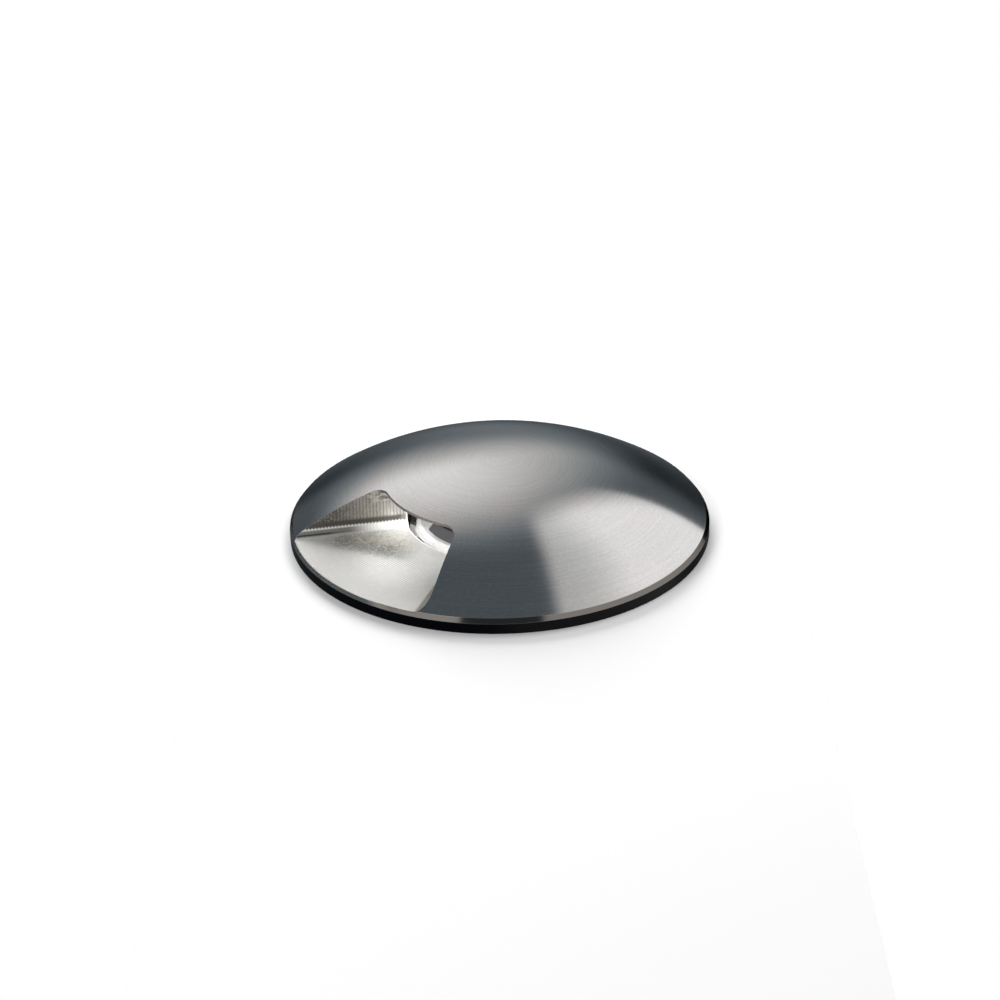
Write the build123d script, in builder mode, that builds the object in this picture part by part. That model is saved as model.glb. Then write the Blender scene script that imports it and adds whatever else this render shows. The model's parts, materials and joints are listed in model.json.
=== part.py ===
"""In-ground well light with a domed steel cover and one light outlet.

Units are millimetres and +Z is up. The origin is on the light's axis at the level of the
paving, where the underside of the cover's rim rests. All that is buried has a negative Z.
The light lifts out of its sleeve along +Z and turns in it about Z to aim the outlet.
"""

from build123d import *
from math import cos, radians, sin
import os

# ---------------------------------------------------------------- driving dimensions
# Domed cover
COVER_R = 50.0
RIM_HEIGHT = 2.5
RIM_CHAMFER_R = 0.8
RIM_CHAMFER_H = 1.0
DOME_RISE = 15.0

# Light outlet milled into the cover, and the bore under its roof
OUTLET_LEFT = -169.3
OUTLET_RIGHT = -110.0
OUTLET_FLOOR_Z = 3.2
OUTLET_LEFT_FILLET = 2.3
OUTLET_RIGHT_FILLET = 3.5
OUTLET_BACK_R = 27.4
OUTLET_CORNER_R = 4.0
ROOF_Z = 13.4
COVER_BORE_R = 22.2
COVER_HOLE_DEPTH = 7.0

# Window that stands in the bore of the cover
WINDOW_R = 18.1
WINDOW_HALF_WIDTH = 13.8
WINDOW_TURN = 161.4
FRAME_TOP_Z = 3.2
FRAME_SHOULDER_Z = 2.6
FRAME_FLANGE_Z = 1.4
FRAME_BOTTOM_Z = -3.2
FRAME_THREAD_R = 21.4
NOTCH_ANGLE = -157.0
NOTCH_WIDTH = 4.0
NOTCH_DEPTH = 1.2
NOTCH_HEIGHT = 1.8
GLASS_FLANGE_R = 19.4
GLASS_FLANGE_Z = -0.6
GLASS_BOTTOM_Z = -3.8

# Housing of the lamp
FLANGE_R = 41.5
FLANGE_T = 4.0
BODY_R = 31.0
BODY_BOTTOM_Z = -54.0
FIN_R = 35.5
FIN_T = 1.6
FIN_STEP = 20
SEAT_Z = -5.0
LAMP_BORE_R = 16.0
WEB_TOP_Z = -18.4
WEB_T = 4.0
DRIVER_BORE_R = 27.0
GASKET_R = 27.5
GASKET_W = 3.0
GASKET_GROOVE = 1.6

# Fixings that repeat about the axis
FIRST_SCREW_ANGLE = 40.5
COVER_SCREW_CIRCLE_R = 35.0
SPRING_ANGLE = FIRST_SCREW_ANGLE + 60.0
CAP_SCREW_CIRCLE_R = 29.0
CAP_SCREW_ANGLE = FIRST_SCREW_ANGLE + 15.0
CLEAR_M4_R = 2.2
M4_R = 2.0
TAPPED_M3_R = 1.5
TAPPED_M25_R = 1.25
CLEAR_M3_R = 1.7
CLEAR_M25_R = 1.45

# Screws, each with its head's radius, its head's height and the length of its shank
COVER_SCREW = (3.4, 2.4, 10.0)
LAMP_BOARD_SCREW = (2.2, 1.5, 5.0)
DRIVER_SCREW = (2.8, 1.8, 13.0)
CAP_SCREW = (1.9, 1.6, 11.0)
SPRING_SCREW = (2.8, 1.5, 6.0)
SOCKET_SHARE = 0.5
SOCKET_DEPTH_SHARE = 0.6

# Lamp: board, emitter, lens and lens holder
PAD_T = 0.4
EMITTER_W = 5.0
EMITTER_T = 0.8
EMITTER_DOME_R = 2.1
LAMP_BOARD_R = 15.4
LAMP_BOARD_T = 1.6
BOARD_SCREW_CIRCLE_R = 10.6
HOLDER_R = 15.6
HOLDER_BORE_R = 14.2
HOLDER_LEDGE_Z = -8.6
LENS_R = 12.0
LENS_FLANGE_R = 14.0
LENS_FLANGE_T = 1.2
LENS_TOP_Z = -4.2
LENS_SLOPE = 16.0
LENS_WELL_R = 2.5
LENS_BOTTOM_R = 3.6
LENS_WAIST = (8.8, HOLDER_LEDGE_Z - 3.8)
LEAD_Y = -12.4
LEAD_SPACING = 3.0
LEAD_R = 0.7

# Driver under the web
DRIVER_BOARD_R = 25.5
DRIVER_BOARD_T = 1.6
SPACER_R = 3.0
SPACER_H = 8.0
SPACER_CIRCLE_R = 20.0
CAPACITOR_PLACE = (-9.0, -6.0)
CAPACITOR_R = 5.0
CAPACITOR_L = 12.5
CAPACITOR_BEVEL = 0.8
INDUCTOR_X = 8.0
INDUCTOR_Y = 6.0
INDUCTOR_R = 6.0
INDUCTOR_WAIST_R = 4.8
INDUCTOR_H = 8.0
INDUCTOR_FLANGE_T = 1.6
TERMINAL_X = 7.0
TERMINAL_Y = -13.0
TERMINAL_LENGTH = 12.0
TERMINAL_WIDTH = 8.0
TERMINAL_H = 9.0
TERMINAL_BEVEL = 1.5
TERMINAL_HOLE_R = 1.6
TERMINAL_HOLE_STEP = 5.6
TERMINAL_HOLE_DEPTH = 5.0

# Springs that grip the sleeve
SPRING_WIDTH = 8.0
SPRING_T = 0.6
SPRING_PAD_R = 35.6
SPRING_TOP_Z = -11.0
SPRING_BEND_Z = -21.0
SPRING_BULGE_R = 37.9
SPRING_SCREW_Z = -16.0
SPRING_HOLE_DEPTH = 6.5

# Bottom cap, cable gland and vent
CAP_T = 4.0
CAP_SPIGOT_H = 4.5
CAP_GROOVE_W = 2.0
CAP_GROOVE_DEPTH = 1.6
GLAND_THREAD_R = 6.0
GLAND_THREAD_ABOVE = 6.0
GLAND_WASHER_T = 1.2
GLAND_HEX_R = 9.2
GLAND_HEX_T = 4.0
GLAND_BARREL_R = 7.0
GLAND_BARREL_L = 7.0
GLAND_BORE_R = 5.1
GLAND_NUT_R = 8.6
CABLE_HOLE_R = 3.2
VENT_X = 17.0
VENT_R = 4.0

# Ring that turns in the sleeve to aim the outlet
RING_R = 43.44
RING_BORE_R = 38.8
RING_LIP_R = 41.9
RING_TOP_Z = -1.4
RING_BOTTOM_Z = -8.0
RING_KEYWAY_R = 40.3
KEY_WIDTH = 6.0
KEY_R = 40.0
KEY_BOTTOM_Z = -7.6
RING_GROOVE_Z = -6.0
RING_GROOVE_W = 1.56

# Installation sleeve and its base
SLEEVE_BORE_R = 38.6
SLEEVE_R = 41.0
SLEEVE_SEAT_R = 43.5
SLEEVE_HEAD_R = 46.0
SLEEVE_FLANGE_R = 48.2
SLEEVE_FLANGE_T = 2.2
SLEEVE_TOP_Z = -0.8
SLEEVE_HEAD_BOTTOM_Z = -12.0
SLEEVE_BOTTOM_Z = -103.5
ANCHOR_R = 44.0
ANCHOR_T = 2.0
ANCHOR_LEVELS = (-46.0, -76.0)
ANCHOR_RIBS = 6
ENTRY_Z = -90.0
ENTRY_R = 10.0
ENTRY_BORE_R = 7.5
ENTRY_REACH = 45.0
GROMMET_HOLE_R = 3.4
GROMMET_LIP_T = 1.8
GROMMET_PLUG_L = 6.0
BASE_R = 45.0
BASE_T = 2.5
BASE_SPIGOT_H = 6.0
BASE_HOLE_CIRCLE_R = 30.0
BASE_HOLE_R = 2.75
BASE_CENTRE_HOLE_R = 5.0
DRAIN_SLOTS = 4
DRAIN_CIRCLE_R = 14.0
DRAIN_SLOT_L = 9.0
DRAIN_SLOT_W = 4.0

# Radial or vertical play between pieces of one body that are seated in each other
GAP = 0.05
SEAL_PLAY = 0.02

# ---------------------------------------------------------------- derived values
DOME_EDGE_R = COVER_R - RIM_CHAMFER_R
DOME_EDGE_Z = RIM_HEIGHT + RIM_CHAMFER_H
APEX_Z = DOME_EDGE_Z + DOME_RISE
DOME_SPHERE_R = (DOME_EDGE_R**2 + DOME_RISE**2) / (2 * DOME_RISE)
WEB_BOTTOM_Z = WEB_TOP_Z - WEB_T
LAMP_BOARD_Z = WEB_TOP_Z + PAD_T
LAMP_FLOOR_Z = LAMP_BOARD_Z + LAMP_BOARD_T
EMITTER_TOP_Z = LAMP_FLOOR_Z + EMITTER_T
LENS_BOTTOM_Z = LAMP_FLOOR_Z + 1.0
LENS_WELL_TOP_Z = LAMP_FLOOR_Z + 4.2
DRIVER_TOP_Z = WEB_BOTTOM_Z - SPACER_H
DRIVER_BOTTOM_Z = DRIVER_TOP_Z - DRIVER_BOARD_T
CAP_BOTTOM_Z = BODY_BOTTOM_Z - CAP_T
GLAND_TOP_Z = BODY_BOTTOM_Z + GLAND_THREAD_ABOVE
GLAND_HEX_TOP_Z = CAP_BOTTOM_Z - GLAND_WASHER_T
GLAND_HEX_BOTTOM_Z = GLAND_HEX_TOP_Z - GLAND_HEX_T
GLAND_BOTTOM_Z = GLAND_HEX_BOTTOM_Z - GLAND_BARREL_L
GLAND_SEAL_BOTTOM_Z = GLAND_BOTTOM_Z - 1.6
GLAND_NUT_TOP_Z = GLAND_HEX_BOTTOM_Z - 0.6
GLAND_NUT_BOTTOM_Z = GLAND_BOTTOM_Z - 4.0
BASE_BOTTOM_Z = SLEEVE_BOTTOM_Z - BASE_T
SPRING_SCREW_R = SPRING_PAD_R + SPRING_T

os.makedirs("parts", exist_ok=True)


# ---------------------------------------------------------------- helpers
def on_circle(radius, angle):
    """The point of the plan at this radius and this angle in degrees."""
    return (radius * cos(radians(angle)), radius * sin(radians(angle)))


def radial_plane(angle):
    """A plane through the axis: its local X points outward at the angle, its local Y up."""
    across = (*on_circle(1, angle - 90), 0)
    return Plane(origin=(0, 0, 0), x_dir=(*on_circle(1, angle), 0), z_dir=across)


def facing_out(angle, radius, height):
    """A plane that faces outward at this angle, radius and height."""
    return Plane(origin=(*on_circle(radius, angle), height), z_dir=(*on_circle(1, angle), 0))


def facing_in(angle, radius, height):
    """The same plane, facing the axis."""
    return Plane(origin=(*on_circle(radius, angle), height), z_dir=(*on_circle(-1, angle), 0))


def up_at(radius, angle, height):
    """A level plane with its origin at this radius, angle and height."""
    return Plane(origin=(*on_circle(radius, angle), height))


def down_at(radius, angle, height):
    """The same plane, facing down."""
    return Plane(origin=(*on_circle(radius, angle), height), z_dir=(0, 0, -1))


def revolved(points):
    """A ring or a disc turned about Z from its outline of (radius, height) points."""
    with BuildPart() as turned:
        with BuildSketch(Plane.XZ):
            with BuildLine():
                Polyline(*points, close=True)
            make_face()
        revolve(axis=Axis.Z)
    return turned.part


def bevelled_ring(mid_r, mid_z, width, height, bevel):
    """A rubber ring in its groove: a rectangle with bevelled corners, turned about Z."""
    with BuildPart() as ring:
        with BuildSketch(Plane.XZ):
            with Locations((mid_r, mid_z)):
                Rectangle(width - SEAL_PLAY, height - SEAL_PLAY)
            chamfer(vertices(), bevel)
        revolve(axis=Axis.Z)
    return ring.part


def outlet_sector(inner_r, corner_r):
    """The outlet's plan between its side walls, from this radius outward past the rim."""
    far_r = COVER_R + 10
    spread = OUTLET_RIGHT - OUTLET_LEFT
    with BuildSketch() as sector:
        with BuildLine():
            CenterArc((0, 0), inner_r, OUTLET_LEFT, spread)
            Line(on_circle(inner_r, OUTLET_LEFT), on_circle(far_r, OUTLET_LEFT))
            CenterArc((0, 0), far_r, OUTLET_LEFT, spread)
            Line(on_circle(inner_r, OUTLET_RIGHT), on_circle(far_r, OUTLET_RIGHT))
        make_face()
        if corner_r:
            fillet(vertices().sort_by_distance((0, 0, 0))[:2], corner_r)
    return sector.sketch


def window_outline(radius, half_width):
    """A circle with two parallel flats, turned to the window's direction."""
    with BuildSketch() as outline:
        Circle(radius)
        Rectangle(2 * half_width, 2 * radius, rotation=WINDOW_TURN, mode=Mode.INTERSECT)
    return outline.sketch


def screws(seats, size, shank_r):
    """Socket-head screws. Each head sits on its plane, and its shank goes along the normal."""
    head_r, head_t, shank_length = size
    with BuildPart() as group:
        for seat in seats:
            with BuildSketch(seat):
                Circle(shank_r)
            extrude(amount=shank_length)
            with BuildSketch(seat):
                Circle(head_r)
            extrude(amount=-head_t)
            with BuildSketch(seat.offset(-head_t)):
                RegularPolygon(head_r * SOCKET_SHARE, 6)
            extrude(amount=head_t * SOCKET_DEPTH_SHARE, mode=Mode.SUBTRACT)
    return group.part


def save(part, name):
    """Labels one finished piece and writes its file."""
    part.label = name
    export_step(part, f"parts/{name}.step")


# ================================================================ the domed cover
# The outlet's cutter below the roof runs on into the bore. Its bottom corners are round, as
# the milling tool leaves them.
with BuildPart() as outlet_cutter:
    with BuildSketch(Plane.XY.offset(OUTLET_FLOOR_Z)):
        add(outlet_sector(COVER_BORE_R - 4, 0))
    extrude(amount=ROOF_Z - OUTLET_FLOOR_Z)
    fillet(edges().filter_by(GeomType.LINE).group_by(Axis.Z)[0].sort_by(Axis.X)[0], OUTLET_LEFT_FILLET)
    fillet(edges().filter_by(GeomType.LINE).group_by(Axis.Z)[0].sort_by(Axis.X)[-1], OUTLET_RIGHT_FILLET)

with BuildPart() as dome_cover:
    with BuildSketch(Plane.XZ):
        with BuildLine():
            Polyline(
                (0, APEX_Z),
                (0, ROOF_Z),
                (COVER_BORE_R, ROOF_Z),
                (COVER_BORE_R, 0),
                (COVER_R, 0),
                (COVER_R, RIM_HEIGHT),
                (DOME_EDGE_R, DOME_EDGE_Z),
            )
            RadiusArc((DOME_EDGE_R, DOME_EDGE_Z), (0, APEX_Z), -DOME_SPHERE_R)
        make_face()
    revolve(axis=Axis.Z)
    # Blind holes for the screws that come up through the housing flange
    with BuildSketch():
        with PolarLocations(COVER_SCREW_CIRCLE_R, 3, start_angle=FIRST_SCREW_ANGLE):
            Circle(M4_R)
    extrude(amount=COVER_HOLE_DEPTH, mode=Mode.SUBTRACT)
    add(outlet_cutter.part, mode=Mode.SUBTRACT)
    # Above the roof's underside the opening ends in an arc with round corners
    with BuildSketch(Plane.XY.offset(ROOF_Z)):
        add(outlet_sector(OUTLET_BACK_R, OUTLET_CORNER_R))
    extrude(amount=DOME_RISE, mode=Mode.SUBTRACT)
save(dome_cover.part, "dome_cover")

cover_screw_seats = [
    up_at(COVER_SCREW_CIRCLE_R, FIRST_SCREW_ANGLE + step, -FLANGE_T) for step in (0, 120, 240)
]
save(screws(cover_screw_seats, COVER_SCREW, M4_R - GAP), "cover_screws")

# ================================================================ the window
# A turned frame stands in the bore of the cover. Its opening is a circle with two flats.
with BuildPart() as window_frame:
    with BuildSketch(Plane.XZ):
        Polygon(
            (0, FRAME_TOP_Z),
            (WINDOW_R + 0.9, FRAME_TOP_Z),
            (WINDOW_R + 1.7, FRAME_SHOULDER_Z),
            (WINDOW_R + 1.9, FRAME_FLANGE_Z),
            (FRAME_THREAD_R, FRAME_FLANGE_Z),
            (FRAME_THREAD_R, FRAME_BOTTOM_Z),
            (GLASS_FLANGE_R + 2 * GAP, FRAME_BOTTOM_Z),
            (GLASS_FLANGE_R + 2 * GAP, GLASS_FLANGE_Z),
            (0, GLASS_FLANGE_Z),
            align=None,
        )
    revolve(axis=Axis.Z)
    with BuildSketch(Plane.XY.offset(GLASS_FLANGE_Z)):
        add(window_outline(WINDOW_R, WINDOW_HALF_WIDTH))
    extrude(amount=2 * FRAME_TOP_Z, mode=Mode.SUBTRACT)
    # Notches for the key that turns the frame home
    with BuildSketch(Plane.XY.offset(FRAME_FLANGE_Z)):
        with PolarLocations(FRAME_THREAD_R, 4, start_angle=NOTCH_ANGLE):
            Rectangle(2 * NOTCH_DEPTH, NOTCH_WIDTH)
    extrude(amount=-NOTCH_HEIGHT, mode=Mode.SUBTRACT)
save(window_frame.part, "window_frame")

# The pressed glass has a flange below the frame, and a raised centre that fills the opening.
with BuildPart() as window_glass:
    with BuildSketch(Plane.XY.offset(GLASS_BOTTOM_Z)):
        Circle(GLASS_FLANGE_R)
    extrude(amount=GLASS_FLANGE_Z - GLASS_BOTTOM_Z)
    with BuildSketch(Plane.XY.offset(GLASS_FLANGE_Z)):
        add(window_outline(WINDOW_R - 2 * GAP, WINDOW_HALF_WIDTH - 2 * GAP))
    extrude(amount=FRAME_TOP_Z - GAP - GLASS_FLANGE_Z)
save(window_glass.part, "window_glass")

glass_seal = revolved(
    [
        (LAMP_BORE_R + 0.5, SEAT_Z),
        (FRAME_THREAD_R - 0.4, SEAT_Z),
        (FRAME_THREAD_R - 0.4, FRAME_BOTTOM_Z),
        (GLASS_FLANGE_R + 2 * GAP, FRAME_BOTTOM_Z),
        (GLASS_FLANGE_R + 2 * GAP, GLASS_BOTTOM_Z),
        (LAMP_BORE_R + 0.5, GLASS_BOTTOM_Z),
    ]
)
save(glass_seal, "glass_seal")

# ================================================================ the housing
with BuildPart() as housing:
    with BuildSketch(Plane.XZ):
        Polygon(
            (FRAME_THREAD_R + GAP, 0),
            (FLANGE_R, 0),
            (FLANGE_R, -FLANGE_T),
            (BODY_R, -FLANGE_T),
            (BODY_R, BODY_BOTTOM_Z),
            (DRIVER_BORE_R, BODY_BOTTOM_Z),
            (DRIVER_BORE_R, WEB_BOTTOM_Z),
            (0, WEB_BOTTOM_Z),
            (0, WEB_TOP_Z),
            (LAMP_BORE_R, WEB_TOP_Z),
            (LAMP_BORE_R, SEAT_Z),
            (FRAME_THREAD_R + GAP, SEAT_Z),
            align=None,
        )
    revolve(axis=Axis.Z)
    # Cooling fins, left out where the cover screws and the springs are
    for step in range(0, 360, FIN_STEP):
        if step % 60:
            with BuildSketch(radial_plane(FIRST_SCREW_ANGLE + step)):
                Polygon(
                    (BODY_R - 1, -FLANGE_T),
                    (FIN_R, -FLANGE_T),
                    (FIN_R, BODY_BOTTOM_Z + 14),
                    (BODY_R, BODY_BOTTOM_Z + 5),
                    (BODY_R - 1, BODY_BOTTOM_Z + 5),
                    align=None,
                )
            extrude(amount=FIN_T / 2, both=True)
    for step in (0, 120, 240):
        # A pad that carries a spring, and above it the key that turns the aiming ring
        with BuildSketch(radial_plane(SPRING_ANGLE + step)):
            Polygon(
                (BODY_R - 1, SPRING_TOP_Z + 1),
                (SPRING_PAD_R, SPRING_TOP_Z + 1),
                (SPRING_PAD_R, SPRING_BEND_Z + 1),
                (BODY_R - 1, SPRING_BEND_Z - 4),
                align=None,
            )
        extrude(amount=SPRING_WIDTH / 2 + 1, both=True)
        with BuildSketch(radial_plane(SPRING_ANGLE + step)):
            Polygon(
                (SPRING_PAD_R, -FLANGE_T),
                (KEY_R, -FLANGE_T),
                (KEY_R, KEY_BOTTOM_Z),
                (SPRING_PAD_R + 2, KEY_BOTTOM_Z),
                align=None,
            )
        extrude(amount=KEY_WIDTH / 2, both=True)
        with BuildSketch(facing_out(SPRING_ANGLE + step, SPRING_PAD_R, SPRING_SCREW_Z)):
            Circle(TAPPED_M3_R)
        extrude(amount=-SPRING_HOLE_DEPTH, mode=Mode.SUBTRACT)
    # Groove for the cover gasket
    with BuildSketch():
        Circle(GASKET_R + GASKET_W / 2 + GAP)
        Circle(GASKET_R - GASKET_W / 2 - GAP, mode=Mode.SUBTRACT)
    extrude(amount=-GASKET_GROOVE, mode=Mode.SUBTRACT)
    # Clearance holes for the cover screws
    with BuildSketch():
        with PolarLocations(COVER_SCREW_CIRCLE_R, 3, start_angle=FIRST_SCREW_ANGLE):
            Circle(CLEAR_M4_R)
    extrude(amount=-FLANGE_T, mode=Mode.SUBTRACT)
    # Tapped holes for the lamp board, and the slot that its two leads pass through
    with BuildSketch(Plane.XY.offset(WEB_TOP_Z)):
        with PolarLocations(BOARD_SCREW_CIRCLE_R, 2):
            Circle(TAPPED_M25_R)
        with Locations((0, LEAD_Y)):
            SlotCenterToCenter(LEAD_SPACING, 4 * LEAD_R)
    extrude(amount=-WEB_T, mode=Mode.SUBTRACT)
    # Tapped holes for the driver's spacers and for the bottom cap
    with BuildSketch(Plane.XY.offset(WEB_BOTTOM_Z)):
        with PolarLocations(SPACER_CIRCLE_R, 3, start_angle=90):
            Circle(TAPPED_M3_R)
    extrude(amount=WEB_T + 3, mode=Mode.SUBTRACT)
    with BuildSketch(Plane.XY.offset(BODY_BOTTOM_Z)):
        with PolarLocations(CAP_SCREW_CIRCLE_R, 4, start_angle=CAP_SCREW_ANGLE):
            Circle(TAPPED_M25_R)
    extrude(amount=8, mode=Mode.SUBTRACT)
save(housing.part, "housing")

cover_gasket = bevelled_ring(GASKET_R, -GASKET_GROOVE / 2, GASKET_W, GASKET_GROOVE, 0.4)
save(cover_gasket, "cover_gasket")

# ================================================================ the lamp
with BuildPart() as thermal_pad:
    with BuildSketch(Plane.XY.offset(WEB_TOP_Z)):
        Circle(LAMP_BOARD_R - 0.6)
        with PolarLocations(BOARD_SCREW_CIRCLE_R, 2):
            Circle(CLEAR_M25_R, mode=Mode.SUBTRACT)
        with Locations((0, LEAD_Y)):
            SlotCenterToCenter(LEAD_SPACING, 4 * LEAD_R, mode=Mode.SUBTRACT)
    extrude(amount=PAD_T)
save(thermal_pad.part, "thermal_pad")

with BuildPart() as lamp_board:
    with BuildSketch(Plane.XY.offset(LAMP_BOARD_Z)):
        Circle(LAMP_BOARD_R)
        with PolarLocations(BOARD_SCREW_CIRCLE_R, 2):
            Circle(CLEAR_M25_R, mode=Mode.SUBTRACT)
        with Locations((-LEAD_SPACING / 2, LEAD_Y), (LEAD_SPACING / 2, LEAD_Y)):
            Circle(LEAD_R + GAP, mode=Mode.SUBTRACT)
    extrude(amount=LAMP_BOARD_T)
save(lamp_board.part, "lamp_board")

lamp_board_seats = [down_at(BOARD_SCREW_CIRCLE_R, angle, LAMP_FLOOR_Z) for angle in (0, 180)]
save(screws(lamp_board_seats, LAMP_BOARD_SCREW, TAPPED_M25_R - GAP), "lamp_board_screws")

with BuildPart() as led_emitter:
    with BuildSketch(Plane.XY.offset(LAMP_FLOOR_Z)):
        Rectangle(EMITTER_W, EMITTER_W)
    extrude(amount=EMITTER_T)
    with BuildSketch(Plane.XZ):
        with BuildLine():
            Line((0, EMITTER_TOP_Z), (EMITTER_DOME_R, EMITTER_TOP_Z))
            CenterArc((0, EMITTER_TOP_Z), EMITTER_DOME_R, 0, 90)
            Line((0, EMITTER_TOP_Z + EMITTER_DOME_R), (0, EMITTER_TOP_Z))
        make_face()
    revolve(axis=Axis.Z)
save(led_emitter.part, "led_emitter")

# The lens gathers the beam, and its sloping top throws it sideways towards the outlet.
with BuildPart() as side_throw_lens:
    with BuildSketch(Plane.XZ):
        with BuildLine():
            Polyline(
                (0, LENS_WELL_TOP_Z),
                (LENS_WELL_R, LENS_WELL_TOP_Z),
                (LENS_WELL_R + 0.2, LENS_BOTTOM_Z),
                (LENS_BOTTOM_R, LENS_BOTTOM_Z),
            )
            ThreePointArc((LENS_BOTTOM_R, LENS_BOTTOM_Z), LENS_WAIST, (LENS_R, HOLDER_LEDGE_Z))
            Polyline(
                (LENS_R, HOLDER_LEDGE_Z),
                (LENS_FLANGE_R, HOLDER_LEDGE_Z),
                (LENS_FLANGE_R, HOLDER_LEDGE_Z + LENS_FLANGE_T),
                (LENS_R, HOLDER_LEDGE_Z + LENS_FLANGE_T),
                (LENS_R, LENS_TOP_Z),
                (0, LENS_TOP_Z),
                (0, LENS_WELL_TOP_Z),
            )
        make_face()
    revolve(axis=Axis.Z)
    throw = (OUTLET_LEFT + OUTLET_RIGHT) / 2
    lean = sin(radians(LENS_SLOPE))
    slope = Plane(
        origin=(*on_circle(LENS_R, throw), HOLDER_LEDGE_Z + LENS_FLANGE_T + 0.3),
        z_dir=(*on_circle(lean, throw), cos(radians(LENS_SLOPE))),
    )
    with BuildSketch(slope):
        Circle(2 * LENS_FLANGE_R)
    extrude(amount=2 * LENS_FLANGE_R, mode=Mode.SUBTRACT)
save(side_throw_lens.part, "side_throw_lens")

lens_holder = revolved(
    [
        (HOLDER_BORE_R, LAMP_FLOOR_Z),
        (HOLDER_R, LAMP_FLOOR_Z),
        (HOLDER_R, GLASS_BOTTOM_Z - 0.2),
        (HOLDER_BORE_R, GLASS_BOTTOM_Z - 0.2),
        (HOLDER_BORE_R, HOLDER_LEDGE_Z),
        (HOLDER_BORE_R - 1.6, HOLDER_LEDGE_Z),
        (HOLDER_BORE_R - 1.6, HOLDER_LEDGE_Z - 1.2),
        (HOLDER_BORE_R, HOLDER_LEDGE_Z - 2.4),
    ]
)
save(lens_holder, "lens_holder")

# ================================================================ the driver
with BuildPart() as driver_spacers:
    with BuildSketch(Plane.XY.offset(DRIVER_TOP_Z)):
        with PolarLocations(SPACER_CIRCLE_R, 3, start_angle=90):
            RegularPolygon(SPACER_R, 6)
            Circle(CLEAR_M3_R, mode=Mode.SUBTRACT)
    extrude(amount=SPACER_H)
save(driver_spacers.part, "driver_spacers")

with BuildPart() as driver_board:
    with BuildSketch(Plane.XY.offset(DRIVER_BOTTOM_Z)):
        Circle(DRIVER_BOARD_R)
        with PolarLocations(SPACER_CIRCLE_R, 3, start_angle=90):
            Circle(CLEAR_M3_R, mode=Mode.SUBTRACT)
        with Locations((-LEAD_SPACING / 2, LEAD_Y), (LEAD_SPACING / 2, LEAD_Y)):
            Circle(LEAD_R + GAP, mode=Mode.SUBTRACT)
    extrude(amount=DRIVER_BOARD_T)
save(driver_board.part, "driver_board")

driver_seats = [up_at(SPACER_CIRCLE_R, angle, DRIVER_BOTTOM_Z) for angle in (90, 210, 330)]
save(screws(driver_seats, DRIVER_SCREW, TAPPED_M3_R - GAP), "driver_screws")

with BuildPart() as driver_capacitor:
    with BuildSketch(Plane.XY.offset(DRIVER_BOTTOM_Z)):
        with Locations(CAPACITOR_PLACE):
            Circle(CAPACITOR_R)
    extrude(amount=-CAPACITOR_L)
    chamfer(edges().filter_by(GeomType.CIRCLE), CAPACITOR_BEVEL)
save(driver_capacitor.part, "driver_capacitor")

# A drum core whose waist carries the winding
with BuildPart() as driver_inductor:
    for drum_r, top_z, height in (
        (INDUCTOR_R, DRIVER_BOTTOM_Z, INDUCTOR_FLANGE_T),
        (INDUCTOR_WAIST_R, DRIVER_BOTTOM_Z, INDUCTOR_H),
        (INDUCTOR_R, DRIVER_BOTTOM_Z - INDUCTOR_H + INDUCTOR_FLANGE_T, INDUCTOR_FLANGE_T),
    ):
        with BuildSketch(Plane.XY.offset(top_z)):
            with Locations((INDUCTOR_X, INDUCTOR_Y)):
                Circle(drum_r)
        extrude(amount=-height)
save(driver_inductor.part, "driver_inductor")

with BuildPart() as terminal_block:
    with BuildSketch(Plane.XY.offset(DRIVER_BOTTOM_Z)):
        with Locations((TERMINAL_X, TERMINAL_Y)):
            Rectangle(TERMINAL_LENGTH, TERMINAL_WIDTH)
    extrude(amount=-TERMINAL_H)
    chamfer(edges().group_by(Axis.Z)[0].filter_by(Axis.X), TERMINAL_BEVEL)
    # Two mouths for the wires, side by side in the outer face
    mouth = Plane(
        origin=(TERMINAL_X, TERMINAL_Y - TERMINAL_WIDTH / 2, DRIVER_BOTTOM_Z - TERMINAL_H / 2),
        x_dir=(1, 0, 0),
        z_dir=(0, -1, 0),
    )
    with BuildSketch(mouth):
        with GridLocations(TERMINAL_HOLE_STEP, 0, 2, 1):
            Circle(TERMINAL_HOLE_R)
    extrude(amount=-TERMINAL_HOLE_DEPTH, mode=Mode.SUBTRACT)
save(terminal_block.part, "terminal_block")

with BuildPart() as lamp_leads:
    with BuildSketch(Plane.XY.offset(DRIVER_BOTTOM_Z)):
        with Locations((-LEAD_SPACING / 2, LEAD_Y), (LEAD_SPACING / 2, LEAD_Y)):
            Circle(LEAD_R)
    extrude(amount=LAMP_FLOOR_Z + 0.4 - DRIVER_BOTTOM_Z)
save(lamp_leads.part, "lamp_leads")

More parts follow.
